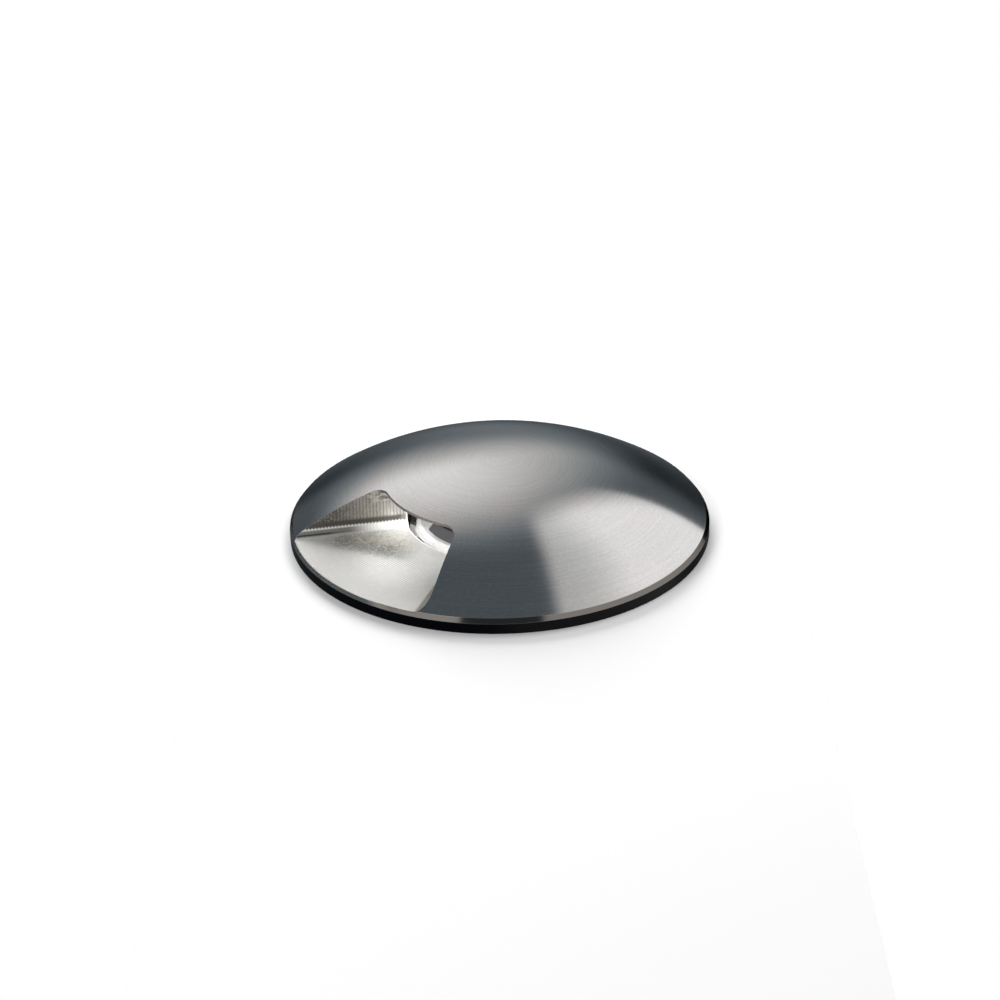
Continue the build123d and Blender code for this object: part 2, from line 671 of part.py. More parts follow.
# ================================================================ the bottom cap
cap_blank = revolved(
    [
        (0, CAP_BOTTOM_Z),
        (BODY_R - 1, CAP_BOTTOM_Z),
        (BODY_R, CAP_BOTTOM_Z + 1),
        (BODY_R, BODY_BOTTOM_Z),
        (DRIVER_BORE_R - GAP, BODY_BOTTOM_Z),
        (DRIVER_BORE_R - GAP, BODY_BOTTOM_Z + CAP_SPIGOT_H),
        (DRIVER_BORE_R - 2.5, BODY_BOTTOM_Z + CAP_SPIGOT_H),
        (DRIVER_BORE_R - 2.5, BODY_BOTTOM_Z),
        (0, BODY_BOTTOM_Z),
    ]
)
cap_groove_z = BODY_BOTTOM_Z + CAP_SPIGOT_H / 2
with BuildPart() as bottom_cap:
    add(cap_blank)
    with BuildSketch(Plane.XY.offset(cap_groove_z - CAP_GROOVE_W / 2)):
        Circle(DRIVER_BORE_R)
        Circle(DRIVER_BORE_R - CAP_GROOVE_DEPTH, mode=Mode.SUBTRACT)
    extrude(amount=CAP_GROOVE_W, mode=Mode.SUBTRACT)
    with BuildSketch(Plane.XY.offset(CAP_BOTTOM_Z)):
        Circle(GLAND_THREAD_R + GAP)
        with Locations((VENT_X, 0)):
            Circle(VENT_R + GAP)
        with PolarLocations(CAP_SCREW_CIRCLE_R, 4, start_angle=CAP_SCREW_ANGLE):
            Circle(CLEAR_M25_R)
    extrude(amount=CAP_T, mode=Mode.SUBTRACT)
save(bottom_cap.part, "bottom_cap")

cap_seal = bevelled_ring(
    DRIVER_BORE_R - CAP_GROOVE_DEPTH / 2, cap_groove_z, CAP_GROOVE_DEPTH, CAP_GROOVE_W, 0.5
)
save(cap_seal, "cap_seal")

cap_screw_seats = [
    up_at(CAP_SCREW_CIRCLE_R, CAP_SCREW_ANGLE + step, CAP_BOTTOM_Z) for step in (0, 90, 180, 270)
]
save(screws(cap_screw_seats, CAP_SCREW, TAPPED_M25_R - GAP), "cap_screws")

# A vent that lets the housing breathe and keeps water out
with BuildPart() as vent_plug:
    with BuildSketch(Plane.XY.offset(CAP_BOTTOM_Z)):
        with Locations((VENT_X, 0)):
            Circle(VENT_R)
    extrude(amount=CAP_T + 1)
    with BuildSketch(Plane.XY.offset(CAP_BOTTOM_Z)):
        with Locations((VENT_X, 0)):
            RegularPolygon(VENT_R + 2.2, 6)
    extrude(amount=-3.0)
    with BuildSketch(Plane.XY.offset(CAP_BOTTOM_Z - 3.0)):
        with Locations((VENT_X, 0)):
            with PolarLocations(2.0, 3):
                Circle(0.7)
    extrude(amount=1.5, mode=Mode.SUBTRACT)
save(vent_plug.part, "vent_plug")

# ================================================================ the cable gland
with BuildPart() as gland_body:
    add(
        revolved(
            [
                (CABLE_HOLE_R + 0.4, GLAND_TOP_Z),
                (GLAND_THREAD_R, GLAND_TOP_Z),
                (GLAND_THREAD_R, GLAND_HEX_BOTTOM_Z),
                (GLAND_BARREL_R, GLAND_HEX_BOTTOM_Z),
                (GLAND_BARREL_R, GLAND_BOTTOM_Z),
                (GLAND_BORE_R, GLAND_BOTTOM_Z),
                (GLAND_BORE_R, GLAND_HEX_TOP_Z),
                (CABLE_HOLE_R + 0.4, GLAND_HEX_TOP_Z),
            ]
        )
    )
    with BuildSketch(Plane.XY.offset(GLAND_HEX_BOTTOM_Z)):
        RegularPolygon(GLAND_HEX_R, 6)
        Circle(GLAND_THREAD_R - 0.5, mode=Mode.SUBTRACT)
    extrude(amount=GLAND_HEX_TOP_Z - GLAND_HEX_BOTTOM_Z)
save(gland_body.part, "gland_body")

gland_washer = revolved(
    [
        (GLAND_THREAD_R + GAP, GLAND_HEX_TOP_Z),
        (GLAND_THREAD_R + 1.9, GLAND_HEX_TOP_Z),
        (GLAND_THREAD_R + 1.9, CAP_BOTTOM_Z),
        (GLAND_THREAD_R + GAP, CAP_BOTTOM_Z),
    ]
)
save(gland_washer, "gland_washer")

with BuildPart() as gland_locknut:
    with BuildSketch(Plane.XY.offset(BODY_BOTTOM_Z)):
        RegularPolygon(GLAND_HEX_R, 6)
        Circle(GLAND_THREAD_R + GAP, mode=Mode.SUBTRACT)
    extrude(amount=3.0)
save(gland_locknut.part, "gland_locknut")

gland_seal = revolved(
    [
        (CABLE_HOLE_R, GLAND_HEX_TOP_Z - 1.0),
        (GLAND_BORE_R - GAP, GLAND_HEX_TOP_Z - 1.0),
        (GLAND_BORE_R - GAP, GLAND_BOTTOM_Z),
        (CABLE_HOLE_R + 0.9, GLAND_SEAL_BOTTOM_Z),
        (CABLE_HOLE_R, GLAND_SEAL_BOTTOM_Z),
    ]
)
save(gland_seal, "gland_seal")

with BuildPart() as gland_nut:
    add(
        revolved(
            [
                (GLAND_BARREL_R + GAP, GLAND_NUT_TOP_Z),
                (GLAND_NUT_R, GLAND_NUT_TOP_Z),
                (GLAND_NUT_R, GLAND_BOTTOM_Z),
                (GLAND_NUT_R - 2.6, GLAND_NUT_BOTTOM_Z),
                (CABLE_HOLE_R + 0.4, GLAND_NUT_BOTTOM_Z),
                (CABLE_HOLE_R + 0.4, GLAND_SEAL_BOTTOM_Z - GAP),
                (CABLE_HOLE_R + 1.4, GLAND_SEAL_BOTTOM_Z - GAP),
                (GLAND_BORE_R + 0.6, GLAND_BOTTOM_Z - GAP),
                (GLAND_BARREL_R + GAP, GLAND_BOTTOM_Z - GAP),
            ]
        )
    )
    # Grip flutes round the nut
    with BuildSketch(Plane.XY.offset(GLAND_BOTTOM_Z)):
        with PolarLocations(GLAND_NUT_R + 0.35, 8):
            Circle(0.8)
    extrude(amount=GLAND_NUT_TOP_Z - GLAND_BOTTOM_Z, mode=Mode.SUBTRACT)
save(gland_nut.part, "gland_nut")

# ================================================================ the springs
# Each spring is a bent strip. Its bulge presses on the wall of the sleeve.
with BuildPart() as retention_springs:
    for step in (0, 120, 240):
        mid_r = SPRING_PAD_R + SPRING_T / 2
        with BuildSketch(radial_plane(SPRING_ANGLE + step)):
            with BuildLine() as strip:
                FilletPolyline(
                    (mid_r, SPRING_TOP_Z),
                    (mid_r, SPRING_BEND_Z),
                    (SPRING_BULGE_R, SPRING_BEND_Z - 7),
                    (SPRING_BULGE_R, SPRING_BEND_Z - 9),
                    (mid_r - 1.5, SPRING_BEND_Z - 18),
                    radius=1.0,
                )
            trace(line_width=SPRING_T)
        extrude(amount=SPRING_WIDTH / 2, both=True)
        with BuildSketch(facing_out(SPRING_ANGLE + step, SPRING_PAD_R, SPRING_SCREW_Z)):
            Circle(CLEAR_M3_R)
        extrude(amount=SPRING_T + 1, mode=Mode.SUBTRACT)
save(retention_springs.part, "retention_springs")

spring_screw_seats = [
    facing_in(SPRING_ANGLE + step, SPRING_SCREW_R, SPRING_SCREW_Z) for step in (0, 120, 240)
]
save(screws(spring_screw_seats, SPRING_SCREW, TAPPED_M3_R - GAP), "spring_screws")

# ================================================================ the aiming ring
with BuildPart() as aiming_ring:
    add(
        revolved(
            [
                (RING_BORE_R, RING_BOTTOM_Z),
                (RING_R, RING_BOTTOM_Z),
                (RING_R, RING_TOP_Z),
                (RING_LIP_R, RING_TOP_Z),
                (RING_LIP_R, -FLANGE_T),
                (RING_BORE_R, -FLANGE_T),
            ]
        )
    )
    # Groove for the friction seal
    with BuildSketch(Plane.XY.offset(RING_GROOVE_Z - RING_GROOVE_W / 2)):
        Circle(RING_R + 1)
        Circle(RING_R - RING_GROOVE_W, mode=Mode.SUBTRACT)
    extrude(amount=RING_GROOVE_W, mode=Mode.SUBTRACT)
    # Ways for the keys of the housing
    for step in (0, 120, 240):
        with BuildSketch(radial_plane(SPRING_ANGLE + step)):
            Polygon(
                (RING_BORE_R - 1, RING_BOTTOM_Z),
                (RING_KEYWAY_R, RING_BOTTOM_Z),
                (RING_KEYWAY_R, -FLANGE_T),
                (RING_BORE_R - 1, -FLANGE_T),
                align=None,
            )
        extrude(amount=KEY_WIDTH / 2 + 0.1, both=True, mode=Mode.SUBTRACT)
    # Aiming marks on the lip, one every 30 degrees
    with BuildSketch(Plane.XY.offset(RING_TOP_Z)):
        with PolarLocations((RING_R + RING_LIP_R) / 2, 12):
            Rectangle(2.0, 0.5)
    extrude(amount=-0.5, mode=Mode.SUBTRACT)
save(aiming_ring.part, "aiming_ring")

aiming_ring_seal = bevelled_ring(
    RING_R - RING_GROOVE_W / 2, RING_GROOVE_Z, RING_GROOVE_W, RING_GROOVE_W, 0.45
)
save(aiming_ring_seal, "aiming_ring_seal")

# ================================================================ the installation sleeve
with BuildPart() as installation_sleeve:
    with BuildSketch(Plane.XZ):
        Polygon(
            (SLEEVE_BORE_R, SLEEVE_BOTTOM_Z),
            (SLEEVE_R, SLEEVE_BOTTOM_Z),
            (SLEEVE_R, SLEEVE_HEAD_BOTTOM_Z),
            (SLEEVE_HEAD_R, SLEEVE_HEAD_BOTTOM_Z + 3),
            (SLEEVE_HEAD_R, SLEEVE_TOP_Z - SLEEVE_FLANGE_T),
            (SLEEVE_FLANGE_R, SLEEVE_TOP_Z - SLEEVE_FLANGE_T),
            (SLEEVE_FLANGE_R, SLEEVE_TOP_Z),
            (SLEEVE_SEAT_R, SLEEVE_TOP_Z),
            (SLEEVE_SEAT_R, RING_BOTTOM_Z),
            (SLEEVE_BORE_R, RING_BOTTOM_Z),
            align=None,
        )
    revolve(axis=Axis.Z)
    # Rings and ribs that hold the sleeve in the ground
    for level in ANCHOR_LEVELS:
        with BuildSketch(Plane.XY.offset(level)):
            Circle(ANCHOR_R)
            Circle(SLEEVE_R - 0.5, mode=Mode.SUBTRACT)
        extrude(amount=ANCHOR_T)
    rib_bottom_z = ANCHOR_LEVELS[-1]
    for index in range(ANCHOR_RIBS):
        with BuildSketch(radial_plane(360 / ANCHOR_RIBS * (index + 0.5))):
            Polygon(
                (SLEEVE_R - 0.5, rib_bottom_z),
                (ANCHOR_R - 0.5, rib_bottom_z),
                (ANCHOR_R - 0.5, ANCHOR_LEVELS[0]),
                (SLEEVE_R - 0.5, ANCHOR_LEVELS[0]),
                align=None,
            )
        extrude(amount=ANCHOR_T / 2, both=True)
    # Cable entries on opposite sides
    with BuildSketch(Plane.YZ.offset(-ENTRY_REACH)):
        with Locations((0, ENTRY_Z)):
            Circle(ENTRY_R)
    extrude(amount=2 * ENTRY_REACH)
    with BuildSketch(Plane.YZ.offset(-ENTRY_REACH)):
        with Locations((0, ENTRY_Z)):
            Circle(ENTRY_BORE_R)
    extrude(amount=2 * ENTRY_REACH, mode=Mode.SUBTRACT)
    with BuildSketch(Plane.XY.offset(SLEEVE_BOTTOM_Z)):
        Circle(SLEEVE_BORE_R)
    extrude(amount=RING_BOTTOM_Z - SLEEVE_BOTTOM_Z, mode=Mode.SUBTRACT)
save(installation_sleeve.part, "installation_sleeve")

# A rubber grommet closes each cable entry and leaves a hole for the cable.
with BuildPart() as cable_grommets:
    for side in (1, -1):
        entry = Plane(origin=(side * ENTRY_REACH, 0, ENTRY_Z), z_dir=(side, 0, 0))
        with BuildSketch(entry):
            Circle(ENTRY_R)
        extrude(amount=GROMMET_LIP_T)
        with BuildSketch(entry):
            Circle(ENTRY_BORE_R - GAP)
        extrude(amount=-GROMMET_PLUG_L)
        with BuildSketch(entry.offset(GROMMET_LIP_T)):
            Circle(GROMMET_HOLE_R)
        extrude(amount=-GROMMET_LIP_T - GROMMET_PLUG_L, mode=Mode.SUBTRACT)
save(cable_grommets.part, "cable_grommets")

# The base closes the sleeve. Its slots drain the water, its centre hole lets a cable come
# straight up, and the holes near its edge take fixing pegs.
with BuildPart() as sleeve_base:
    with BuildSketch(Plane.XY.offset(BASE_BOTTOM_Z)):
        Circle(BASE_R)
    extrude(amount=BASE_T)
    with BuildSketch(Plane.XY.offset(SLEEVE_BOTTOM_Z)):
        Circle(SLEEVE_BORE_R - GAP)
        Circle(SLEEVE_BORE_R - 2.0, mode=Mode.SUBTRACT)
    extrude(amount=BASE_SPIGOT_H)
    with BuildSketch(Plane.XY.offset(BASE_BOTTOM_Z)):
        Circle(BASE_CENTRE_HOLE_R)
        with PolarLocations(DRAIN_CIRCLE_R, DRAIN_SLOTS):
            SlotCenterToCenter(DRAIN_SLOT_L, DRAIN_SLOT_W)
        with PolarLocations(BASE_HOLE_CIRCLE_R, 4, start_angle=45):
            Circle(BASE_HOLE_R)
    extrude(amount=BASE_T, mode=Mode.SUBTRACT)
save(sleeve_base.part, "sleeve_base")
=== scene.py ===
"""The looks of the in-ground well light: materials, studio, floor and camera.

Everything is in metres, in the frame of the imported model. The paving's top is at z = 0.
"""

import json
from math import cos, pi, radians, sin
from types import SimpleNamespace

import bpy
from mathutils import Matrix, Vector

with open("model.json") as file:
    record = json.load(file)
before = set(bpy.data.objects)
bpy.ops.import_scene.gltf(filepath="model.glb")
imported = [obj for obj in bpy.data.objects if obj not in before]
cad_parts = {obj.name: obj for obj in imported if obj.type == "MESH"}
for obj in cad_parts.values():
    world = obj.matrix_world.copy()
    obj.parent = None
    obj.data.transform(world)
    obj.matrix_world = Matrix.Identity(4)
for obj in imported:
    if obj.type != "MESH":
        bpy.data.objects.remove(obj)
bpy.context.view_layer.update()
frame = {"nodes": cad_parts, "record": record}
nodes = frame["nodes"]
scene = bpy.context.scene

MM = 0.001

# ---------------------------------------------------------------- sizes shared with the solids
COVER_R = 50.0 * MM
RIM_TOP = 2.5 * MM
CHAMFER_TOP = 3.5 * MM
DOME_EDGE_R = 49.2 * MM
DOME_RISE = 15.0 * MM
DOME_SPHERE_R = (DOME_EDGE_R**2 + DOME_RISE**2) / (2 * DOME_RISE)
DOME_CENTRE_Z = CHAMFER_TOP + DOME_RISE - DOME_SPHERE_R
COVER_BORE_R = 22.2 * MM
OUTLET_LEFT = radians(-169.3)
OUTLET_RIGHT = radians(-110.0)
OUTLET_MIDDLE = (OUTLET_LEFT + OUTLET_RIGHT) / 2
OUTLET_FLOOR = 3.2 * MM
ROOF_Z = 13.4 * MM
FRAME_STEP_R = 20.0 * MM
FRAME_FLANGE_Z = 1.4 * MM

# ---------------------------------------------------------------- sizes of the tool's marks
FLOOR_LINE_PITCH = 0.6 * MM
BORE_LINE_PITCH = 0.5 * MM
RIB_PITCH = 0.8 * MM
GRAIN_DEPTH = 0.0006 * MM
LINE_DEPTH = 0.02 * MM
WORN_DEPTH = 0.12 * MM
RIB_DEPTH = 0.03 * MM

# The patch of painted reflection starts at this place and runs this way, towards the bore. Both
# are given along the outlet's left wall and away from it.
PATCH_START = (42.0 * MM, 3.0 * MM)
PATCH_WAY = (-0.832, 0.555)

# ---------------------------------------------------------------- camera
# The pose was worked out from the outline of the rim in the photograph.
CAMERA_LENS = 88.53
CAMERA_PLACE = (0.000188, -0.51793, 0.27989)
CAMERA_AHEAD = Vector((0.0, 0.88484, -0.46589))
CAMERA_ROLL = radians(-1.13)


def photo_camera():
    data = bpy.data.cameras.new("camera")
    data.sensor_width = 36.0
    data.lens = CAMERA_LENS
    camera = bpy.data.objects.new("camera", data)
    scene.collection.objects.link(camera)
    level_right = Vector((1.0, 0.0, 0.0))
    level_up = level_right.cross(CAMERA_AHEAD)
    right = level_right * cos(CAMERA_ROLL) + level_up * sin(CAMERA_ROLL)
    up = level_up * cos(CAMERA_ROLL) - level_right * sin(CAMERA_ROLL)
    rotation = Matrix((right, up, -CAMERA_AHEAD)).transposed().to_4x4()
    camera.matrix_world = Matrix.Translation(CAMERA_PLACE) @ rotation
    return camera


scene.camera = photo_camera()
scene.view_settings.view_transform = "Standard"


# ---------------------------------------------------------------- node graphs
class Graph:
    """A short way to write shader nodes. Sockets are passed along, and so are plain numbers."""

    def __init__(self, name, for_world=False):
        owners = bpy.data.worlds if for_world else bpy.data.materials
        self.owner = owners.new(name)
        self.owner.use_nodes = True
        self.tree = self.owner.node_tree
        self.tree.nodes.clear()
        self.output = self.node(
            "ShaderNodeOutputWorld" if for_world else "ShaderNodeOutputMaterial"
        )

    def node(self, kind, **settings):
        made = self.tree.nodes.new(kind)
        for key, value in settings.items():
            setattr(made, key, value)
        return made

    def put(self, value, socket):
        """Links a socket to this input, or writes a constant into it."""
        if isinstance(value, bpy.types.NodeSocket):
            self.tree.links.new(value, socket)
        elif isinstance(value, (tuple, list)) and len(value) == 3 and socket.type == "RGBA":
            socket.default_value = (*value, 1.0)
        else:
            socket.default_value = value

    def fill(self, made, **values):
        """Puts values into a node's inputs. Names have underscores for spaces."""
        for key, value in values.items():
            self.put(value, made.inputs[key.replace("_", " ")])
        return made.outputs[0]

    def math(self, operation, a, b=0.0):
        made = self.node("ShaderNodeMath", operation=operation)
        self.put(a, made.inputs[0])
        self.put(b, made.inputs[1])
        return made.outputs[0]

    def add(self, a, b):
        return self.math("ADD", a, b)

    def sub(self, a, b):
        return self.math("SUBTRACT", a, b)

    def mul(self, a, b):
        return self.math("MULTIPLY", a, b)

    def product(self, masks):
        total = masks[0]
        for mask in masks[1:]:
            total = self.mul(total, mask)
        return total

    def outside(self, mask):
        return self.sub(1.0, mask)

    def vector(self, x, y, z):
        return self.fill(self.node("ShaderNodeCombineXYZ"), X=x, Y=y, Z=z)

    def split(self, vector):
        made = self.node("ShaderNodeSeparateXYZ")
        self.put(vector, made.inputs[0])
        return made.outputs[0], made.outputs[1], made.outputs[2]

    def scaled(self, vector, factors):
        made = self.node("ShaderNodeVectorMath", operation="MULTIPLY")
        self.put(vector, made.inputs[0])
        made.inputs[1].default_value = factors
        return made.outputs[0]

    def dot(self, vector, constant):
        made = self.node("ShaderNodeVectorMath", operation="DOT_PRODUCT")
        self.put(vector, made.inputs[0])
        made.inputs[1].default_value = constant
        return made.outputs["Value"]

    def position(self):
        return self.node("ShaderNodeTexCoord").outputs["Object"]

    def normal(self):
        return self.node("ShaderNodeTexCoord").outputs["Normal"]

    def noise(self, vector, scale, detail=2.0, roughness=0.5, distortion=0.0):
        return self.fill(
            self.node("ShaderNodeTexNoise"),
            Vector=vector,
            Scale=scale,
            Detail=detail,
            Roughness=roughness,
            Distortion=distortion,
        )

    def cells(self, vector, scale):
        return self.fill(self.node("ShaderNodeTexVoronoi"), Vector=vector, Scale=scale)

    def spread(self, value, low, high, to_low=0.0, to_high=1.0):
        """Maps low..high to to_low..to_high, with eased ends, and holds beyond them."""
        made = self.node("ShaderNodeMapRange", clamp=True, interpolation_type="SMOOTHSTEP")
        numbers = (value, low, high, to_low, to_high)
        for number, socket in zip(numbers, made.inputs):
            self.put(number, socket)
        return made.outputs[0]

    def blend(self, factor, a, b):
        """a where factor is 0 and b where it is 1; colours."""
        made = self.node("ShaderNodeMix", data_type="RGBA")
        self.put(factor, made.inputs[0])
        self.put(a, made.inputs[6])
        self.put(b, made.inputs[7])
        return made.outputs[2]

    def between(self, factor, a, b):
        """a where factor is 0 and b where it is 1; numbers."""
        made = self.node("ShaderNodeMix", data_type="FLOAT")
        self.put(factor, made.inputs[0])
        self.put(a, made.inputs[2])
        self.put(b, made.inputs[3])
        return made.outputs[0]

    def either(self, factor, shader, other):
        """One shader where factor is 0 and the other where it is 1."""
        made = self.node("ShaderNodeMixShader")
        for value, socket in zip((factor, shader, other), made.inputs):
            self.put(value, socket)
        return made.outputs[0]

    def bump(self, height, distance, below=None):
        made = self.node("ShaderNodeBump")
        self.fill(made, Strength=1.0, Distance=distance, Height=height)
        if below is not None:
            self.put(below, made.inputs["Normal"])
        return made.outputs[0]

    def show(self, shader):
        self.put(shader, self.output.inputs["Surface"])
        return self.owner

    def surface(self, **values):
        """A Principled shader at the output."""
        return self.show(self.fill(self.node("ShaderNodeBsdfPrincipled"), **values))


def polar(g, position):
    """The radius, the angle and the height of a position."""
    x, y, z = g.split(position)
    radius = g.math("SQRT", g.add(g.mul(x, x), g.mul(y, y)))
    return radius, g.math("ARCTAN2", y, x), z


def turned_grain(g, radius, angle, z):
    """Streaks that run round the axis, as turning leaves them, and wider bands. About 0 to 1."""
    around = g.vector(g.mul(radius, 2600.0), g.mul(angle, 1.3), g.mul(z, 900.0))
    wide = g.vector(g.mul(radius, 420.0), g.mul(angle, 0.35), g.mul(z, 200.0))
    return g.noise(around, 1.0, 3.0, 0.6), g.noise(wide, 1.0, 2.0, 0.5)


# ---------------------------------------------------------------- the cover
def cover_places(g):
    """Where each face of the cover is, as masks from 0 to 1, and the noises they share."""
    position = g.position()
    at = SimpleNamespace()
    at.x, at.y, _ = g.split(position)
    at.radius, at.angle, at.z = polar(g, position)
    _, _, up = g.split(g.normal())
    radius, z = at.radius, at.z
    at.streaks, at.bands = turned_grain(g, radius, at.angle, z)
    at.rough = g.noise(position, 9000.0, 3.0, 0.6)
    at.cloud = g.noise(position, 90.0, 3.0, 0.55)
    at.coarse = g.noise(position, 700.0, 3.0, 0.6)
    at.swirl = g.noise(position, 1000.0, 4.0, 0.68, 2.2)

    inside_sphere = g.math("MAXIMUM", g.sub(DOME_SPHERE_R**2, g.mul(radius, radius)), 0.0)
    dome_z = g.add(g.math("SQRT", inside_sphere), DOME_CENTRE_Z)
    at.dome = g.spread(g.sub(dome_z, z), 0.03 * MM, 0.08 * MM, 1.0, 0.0)
    at.side = g.mul(
        g.spread(radius, COVER_R - 0.07 * MM, COVER_R - 0.02 * MM),
        g.spread(z, RIM_TOP - 0.04 * MM, RIM_TOP + 0.02 * MM, 1.0, 0.0),
    )
    at.chamfer = g.product(
        [
            g.spread(radius, DOME_EDGE_R - 0.08 * MM, DOME_EDGE_R - 0.02 * MM),
            g.outside(at.side),
            g.spread(z, CHAMFER_TOP - 0.05 * MM, CHAMFER_TOP + 0.03 * MM, 1.0, 0.0),
            g.spread(up, 0.25, 0.35),
        ]
    )
    at.floor = g.product(
        [
            g.spread(up, 0.93, 0.97),
            g.spread(z, OUTLET_FLOOR + 0.1 * MM, OUTLET_FLOOR + 0.3 * MM, 1.0, 0.0),
            g.outside(at.chamfer),
        ]
    )
    at.inner = g.outside(g.math("MAXIMUM", at.side, at.dome))
    sheer = g.mul(g.spread(up, 0.2, 0.4, 1.0, 0.0), at.inner)
    at.roof_edge = g.mul(sheer, g.spread(z, ROOF_Z - 0.10 * MM, ROOF_Z - 0.04 * MM))
    at.bore = g.spread(radius, COVER_BORE_R + 0.4 * MM, COVER_BORE_R + 0.1 * MM)

    # Places in the outlet, measured along its left wall and away from that wall
    at.along = g.add(g.mul(at.x, cos(OUTLET_LEFT)), g.mul(at.y, sin(OUTLET_LEFT)))
    at.away = g.sub(g.mul(at.y, cos(OUTLET_LEFT)), g.mul(at.x, sin(OUTLET_LEFT)))
    at.down_axis = g.add(g.mul(at.x, cos(OUTLET_MIDDLE)), g.mul(at.y, sin(OUTLET_MIDDLE)))
    at.over_axis = g.sub(g.mul(at.y, cos(OUTLET_MIDDLE)), g.mul(at.x, sin(OUTLET_MIDDLE)))
    at.right = g.spread(at.over_axis, 2.0 * MM, 6.0 * MM)

    # The walls, with the fillets at their feet
    upright = g.mul(sheer, g.spread(z, OUTLET_FLOOR - 0.05 * MM, OUTLET_FLOOR + 0.05 * MM))
    # On the right, the fillet takes the walls' tone as soon as it tips up from the floor, so it
    # is painted darker with its tilt: painted shade
    bend_start = g.between(at.right, 0.97, 0.999)
    bend_end = g.between(at.right, 0.80, 0.95)
    bend = g.mul(g.spread(up, bend_start, bend_end), at.inner)
    at.walls = g.product(
        [
            g.math("MAXIMUM", upright, bend),
            g.spread(radius, COVER_BORE_R + 0.1 * MM, COVER_BORE_R + 0.4 * MM),
            g.outside(at.chamfer),
        ]
    )
    return at


def dome_tone(g, at):
    """Satin turned steel, with short streaks and faint warm and cold patches."""
    brushed = g.vector(g.mul(at.radius, 3200.0), g.mul(at.angle, 55.0), g.mul(at.z, 500.0))
    at.hatch = g.noise(brushed, 1.0, 2.0, 0.6)
    tone = g.blend(at.bands, (0.53, 0.525, 0.523), (0.58, 0.573, 0.565))
    tone = g.blend(g.spread(at.cloud, 0.45, 0.75, 0.0, 0.5), tone, (0.60, 0.545, 0.55))
    tone = g.blend(g.spread(at.cloud, 0.5, 0.25, 0.0, 0.5), tone, (0.52, 0.56, 0.555))
    tone = g.blend(g.spread(at.hatch, 0.35, 0.7, 0.0, 0.5), tone, (0.44, 0.435, 0.43))
    return g.blend(g.spread(at.streaks, 0.3, 0.7, 0.3, 0.0), tone, (0.40, 0.40, 0.40))


def floor_tone(g, at):
    """Bright milled steel with fine tool lines, painted lighter towards the bore, and a patch
    beside the left wall that holds a painted reflection of that wall, painted glints and a
    swirled relief.
    """
    outer_lines = g.math("SINE", g.mul(at.down_axis, 2 * pi / FLOOR_LINE_PITCH))
    inner_lines = g.math("SINE", g.mul(at.over_axis, 2 * pi / BORE_LINE_PITCH))
    slanted = g.add(at.down_axis, g.mul(at.over_axis, 0.45))
    near_bore = g.spread(slanted, 31.0 * MM, 26.0 * MM)
    lines = g.between(near_bore, outer_lines, inner_lines)
    at.lines = g.mul(lines, g.spread(at.coarse, 0.28, 0.55))
    # Painted light: the floor is lighter towards the bore, where the roof shades it, and darker
    # outwards
    painted_light_outwards = g.spread(at.radius, 30.0 * MM, 44.0 * MM)
    tone = g.blend(painted_light_outwards, (0.93, 0.925, 0.90), (0.60, 0.59, 0.57))
    tone = g.blend(g.mul(at.rough, 0.25), tone, (0.62, 0.61, 0.59))
    tone = g.blend(g.spread(at.lines, -0.4, 1.0, 0.0, 0.6), tone, (0.36, 0.36, 0.35))

    # A painted reflection of the left wall: a dark, mottled patch on the floor beside it, with a
    # swirled relief
    along, away = g.sub(at.along, PATCH_START[0]), g.sub(at.away, PATCH_START[1])
    inwards = g.add(g.mul(along, PATCH_WAY[0]), g.mul(away, PATCH_WAY[1]))
    across = g.add(g.mul(along, PATCH_WAY[1]), g.mul(away, -PATCH_WAY[0]))
    across = g.add(across, g.mul(g.sub(at.coarse, 0.5), 4.0 * MM))
    patch = g.product(
        [
            g.spread(across, 0.4 * MM, 4.6 * MM, 1.0, 0.0),
            g.spread(across, -9.0 * MM, -1.0 * MM, 0.45, 1.0),
            g.spread(inwards, -2.0 * MM, 4.0 * MM),
            g.spread(inwards, 16.0 * MM, 25.0 * MM, 1.0, 0.0),
        ]
    )
    at.patch = g.mul(patch, at.floor)
    grey = g.blend(g.spread(at.swirl, 0.3, 0.7), (0.10, 0.10, 0.10), (0.50, 0.49, 0.45))
    brown = g.blend(g.spread(at.swirl, 0.35, 0.6), (0.22, 0.19, 0.145), (0.62, 0.585, 0.50))
    painted_reflection_tone = g.blend(g.spread(across, 0.0, -4.0 * MM, 0.0, 0.85), grey, brown)
    # Painted glints: small painted highlights in the patch
    painted_glints = g.spread(at.swirl, 0.60, 0.68)
    painted_reflection_tone = g.blend(painted_glints, painted_reflection_tone, (0.93, 0.92, 0.89))
    return g.blend(g.mul(at.patch, 0.9), tone, painted_reflection_tone)


